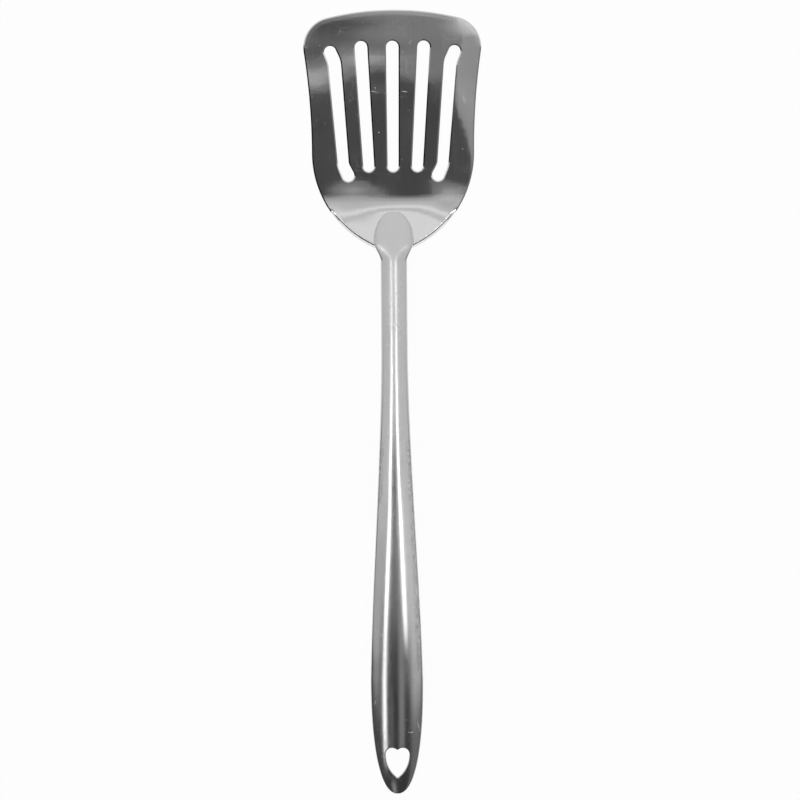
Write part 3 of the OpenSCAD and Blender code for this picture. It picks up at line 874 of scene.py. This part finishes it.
# the ground bead along one edge of the handle, with its faint ripples
def makeSeam(side, name, nodeName):
    form = weldForm
    ys = [y for y in rowsFrom(noseY) if y <= neckY]
    path = [Vector((frontHalf(y), y)) for y in ys] + [Vector((0, endY))]
    rings = []
    length = 0.0
    for i, p in enumerate(path):
        if i:
            length += (p - path[i - 1]).length
        n = Vector((0, -1)) if i == len(path) - 1 else -outward(path, i)
        z, g = midZ(p.y), halfGap(p.y)
        share = (g - turner["seamGap"] / 2) / (turner["sheet"] / 2 - turner["seamGap"] / 2)
        near = p - n * mix(shellForm["wall"], form["seamWidth"], share)
        wave = math.sin(2 * math.pi * length / form["rippleLength"])
        bulge = turner["seamBulge"] - form["ripple"] * (1 + wave)
        crown = [(p + n * bulge * math.cos(a), z + g * math.sin(a))
                 for a in np.linspace(-math.pi / 2, math.pi / 2, form["seamSteps"])]
        ring = [(near, z - g)] + crown + [(near, z + g)]
        rings.append([Vector((side * q.x, q.y, h)) for q, h in ring])
    bm = bmesh.new()
    gridBar(bm, rings)
    finishPiece(bm, name, weldSteel, nodeName, sharp=50)


# the polished hollow fillet round a shell's nose: side is 1 on the heel and -1 under it
def makeFillet(side, name, nodeName, lowY, topY):
    half = frontHalf if side > 0 else backHalf
    leg = weldForm["leg"]
    right = [Vector((half(y), y)) for y in rowsFrom(topY) if y > lowY][::-1]
    path = right + [Vector((-p.x, p.y)) for p in reversed(right)]
    rings = []
    for i, p in enumerate(path):
        n = outward(path, i)
        lap = leg * mix(weldForm["lapSides"], weldForm["lapFront"], abs(n.y))
        top = p - n * lap
        up = min(leg, heightAt(side, top.x, top.y))
        ring = [(p, 0.0)]
        for a in np.linspace(0, math.pi / 2, weldForm["filletSteps"]):
            q = top + n * (leg + lap) * (1 - math.sin(a))
            ring.append((q, up * (1 - math.cos(a))))
        rings.append([Vector((q.x, q.y, bladeZ(q.x, q.y) + side * (turner["sheet"] / 2 + h)))
                      for q, h in ring])
    bm = bmesh.new()
    gridBar(bm, rings)
    finishPiece(bm, name, weldSteel, nodeName, sharp=50)


makeSeam(1, "rightSeam", "seam_weld_right")
makeSeam(-1, "leftSeam", "seam_weld_left")
makeFillet(1, "noseFillet", "nose_weld", heelEndY + weldForm["noseFrom"], noseY)
makeFillet(-1, "heelFillet", "heel_weld", heelEndY + weldForm["heelFrom"], backNoseY)


# studio, in metres and degrees

cameraForm = {
    "height": 3.0, "x": 0.00235, "y": 0.00074, "turn": -0.43, "far": 20,
    "span": 0.368,      # width that the picture takes in at the floor
    "sensor": 36,       # in millimetres
}


def makeCamera():
    form = cameraForm
    data = bpy.data.cameras.new("camera")
    data.sensor_width = form["sensor"]
    data.lens = form["sensor"] * form["height"] / form["span"]
    data.clip_end = form["far"]
    camera = bpy.data.objects.new("camera", data)
    camera.location = (form["x"], form["y"], form["height"])
    camera.rotation_euler = (0, 0, math.radians(form["turn"]))
    bpy.context.scene.collection.objects.link(camera)
    bpy.context.scene.camera = camera


# the floor lies just under the turner. It is lit like paper, and mostly glows toward the camera and in
# reflections, so that it stays an even white.
floorForm = {"size": 4, "drop": 0.0004, "tone": 0.9, "roughness": 0.9, "specular": 0.1, "glow": 0.96}


def makeFloor():
    form = floorForm
    bm = bmesh.new()
    bmesh.ops.create_grid(bm, x_segments=1, y_segments=1, size=form["size"])
    bmesh.ops.translate(bm, verts=bm.verts, vec=(0, 0, -form["drop"]))
    mesh = bpy.data.meshes.new("floor")
    bm.to_mesh(mesh)
    bm.free()
    floor = bpy.data.objects.new("floor", mesh)
    bpy.context.scene.collection.objects.link(floor)
    material = bpy.data.materials.new("paleFloor")
    material.use_nodes = True
    nodes, links = material.node_tree.nodes, material.node_tree.links
    maths = treeTools(material.node_tree)[0]
    shader = nodes["Principled BSDF"]
    shader.inputs["Base Color"].default_value = (form["tone"],) * 3 + (1,)
    shader.inputs["Roughness"].default_value = form["roughness"]
    shader.inputs["Specular IOR Level"].default_value = form["specular"]
    glow = nodes.new("ShaderNodeEmission")
    glow.inputs["Color"].default_value = (1, 1, 1, 1)
    ray = nodes.new("ShaderNodeLightPath").outputs
    direct = maths("MAXIMUM", ray["Is Camera Ray"], ray["Is Transmission Ray"])
    seen = maths("MAXIMUM", direct, ray["Is Glossy Ray"])
    blend = nodes.new("ShaderNodeMixShader")
    links.new(maths("MULTIPLY", seen, form["glow"]), blend.inputs["Fac"])
    links.new(shader.outputs[0], blend.inputs[1])
    links.new(glow.outputs[0], blend.inputs[2])
    links.new(blend.outputs[0], nodes["Material Output"].inputs["Surface"])
    mesh.materials.append(material)


# the studio's sky by angle from straight up, in degrees: across is toward +X, along toward +Y.
# A list of steps starts with the tone at the far -Y side, then gives: from, to, change of tone.
sky = {
    "middle": [0.05, (-27, -18, 0.15), (-4, -1.2, -0.14), (3.2, 4.0, 0.15), (5.2, 6.8, 0.22),
               (7.5, 10, 0.17), (11, 13.5, 0.27), (14.5, 17.5, -0.24), (20.5, 23, 0.22)],
    "left": [0.08, (-31.5, -29.5, 0.2), (-29, -26, 0.28), (-12, 0, 0.17)],
    "right": [0.19, (-33, -30, 0.22), (-30, -27, 0.26), (-24, -20, 0.08)],
    # where the middle passes into the two sides, and the sides into each other
    "leftFrom": -27, "leftTo": -19, "rightFrom": 14, "rightTo": 22, "sideBlend": 5,
    # faint pale cards: across from and to, along from and to, tone
    "cards": [(2.2, 9.2, -36, 12, 0.3), (-9.5, -4.5, -36, -27, 0.15), (-9, -3, -60, -41, 0.4)],
    "cardSoft": (0.8, 1.5),
    # two light strips along the handle: middle, half width and softness across, then along where each
    # starts, is full, begins to fade and ends
    "strips": [(-15.8, 2.0, 0.9, -37.5, -34.5, 24.8, 26.3), (12.8, 2.1, 0.9, -25, -22, 24.8, 26.3)],
    "stripTones": [2.3, (-24, -14, 1.9), (-14, -6, 1.1), (6, 16, -0.6)],
    "stripShift": [0, (-3, 4, -2.2), (19, 23, 1.8)],      # how far the strips lean aside along their length
    # what the broken edges reflect, close to the horizon on both sides
    "edgeFrom": 65, "edgeTo": 69, "edgeLeft": 0.0, "edgeRight": 0.22,
    "edgeBack": (-70, -50), "edgeFront": (24, 36),
}


def makeWorld():
    world = bpy.data.worlds.new("studio")
    bpy.context.scene.world = world
    world.use_nodes = True
    nodes, links = world.node_tree.nodes, world.node_tree.links
    maths, remap = treeTools(world.node_tree)

    def smooth(value, low, high, toLow=0.0, toHigh=1.0):
        return remap(value, low, high, toLow, toHigh, "SMOOTHSTEP")

    def between(value, low, lowFull, highFull, high, tone=1.0):
        return maths("MULTIPLY", smooth(value, low, lowFull), smooth(value, highFull, high, tone, 0))

    def card(value, low, high, soft, tone=1.0):
        return between(value, low - soft, low + soft, high - soft, high + soft, tone)

    def blend(a, b, share):
        return maths("ADD", maths("MULTIPLY", a, maths("SUBTRACT", 1, share)), maths("MULTIPLY", b, share))

    def stepped(value, steps):
        total = steps[0]
        for low, high, change in steps[1:]:
            total = maths("ADD", smooth(value, low, high, 0, change), total)
        return total

    direction = nodes.new("ShaderNodeSeparateXYZ")
    links.new(nodes.new("ShaderNodeTexCoord").outputs["Generated"], direction.inputs[0])

    def angle(axis):
        turn = maths("ARCTAN2", direction.outputs[axis], direction.outputs["Z"])
        return maths("MULTIPLY", turn, 180 / math.pi)

    across, along = angle("X"), angle("Y")
    softAcross, softAlong = sky["cardSoft"]
    middle = stepped(along, sky["middle"])
    for left, right, back, front, tone in sky["cards"]:
        pale = maths("MULTIPLY", card(across, left, right, softAcross, tone),
                     card(along, back, front, softAlong))
        middle = maths("MAXIMUM", middle, pale)
    side = sky["sideBlend"]
    sides = blend(stepped(along, sky["left"]), stepped(along, sky["right"]), smooth(across, -side, side))
    outside = maths("MAXIMUM", smooth(across, sky["leftFrom"], sky["leftTo"], 1, 0),
                    smooth(across, sky["rightFrom"], sky["rightTo"]))
    total = blend(middle, sides, outside)

    stripTone = stepped(along, sky["stripTones"])
    leaning = maths("SUBTRACT", across, stepped(along, sky["stripShift"]))
    for centre, half, soft, backOut, backIn, frontIn, frontOut in sky["strips"]:
        away = maths("ABSOLUTE", maths("SUBTRACT", leaning, centre))
        strip = maths("MULTIPLY", smooth(away, half - soft, half + soft, 1, 0), stripTone)
        strip = maths("MULTIPLY", strip, between(along, backOut, backIn, frontIn, frontOut))
        total = maths("ADD", total, strip)

    edge = maths("MULTIPLY", smooth(maths("ABSOLUTE", across), sky["edgeFrom"], sky["edgeTo"]),
                 between(along, *sky["edgeBack"], *sky["edgeFront"]))
    total = blend(total, smooth(across, -side, side, sky["edgeLeft"], sky["edgeRight"]), edge)

    # the camera itself sees plain white
    total = blend(total, 1.0, nodes.new("ShaderNodeLightPath").outputs["Is Camera Ray"])
    background = nodes["Background"]
    links.new(total, background.inputs["Strength"])
    background.inputs["Color"].default_value = (1, 1, 1, 1)


makeCamera()
makeFloor()
makeWorld()
bpy.context.scene.view_settings.view_transform = "Standard"
print("studio ready")
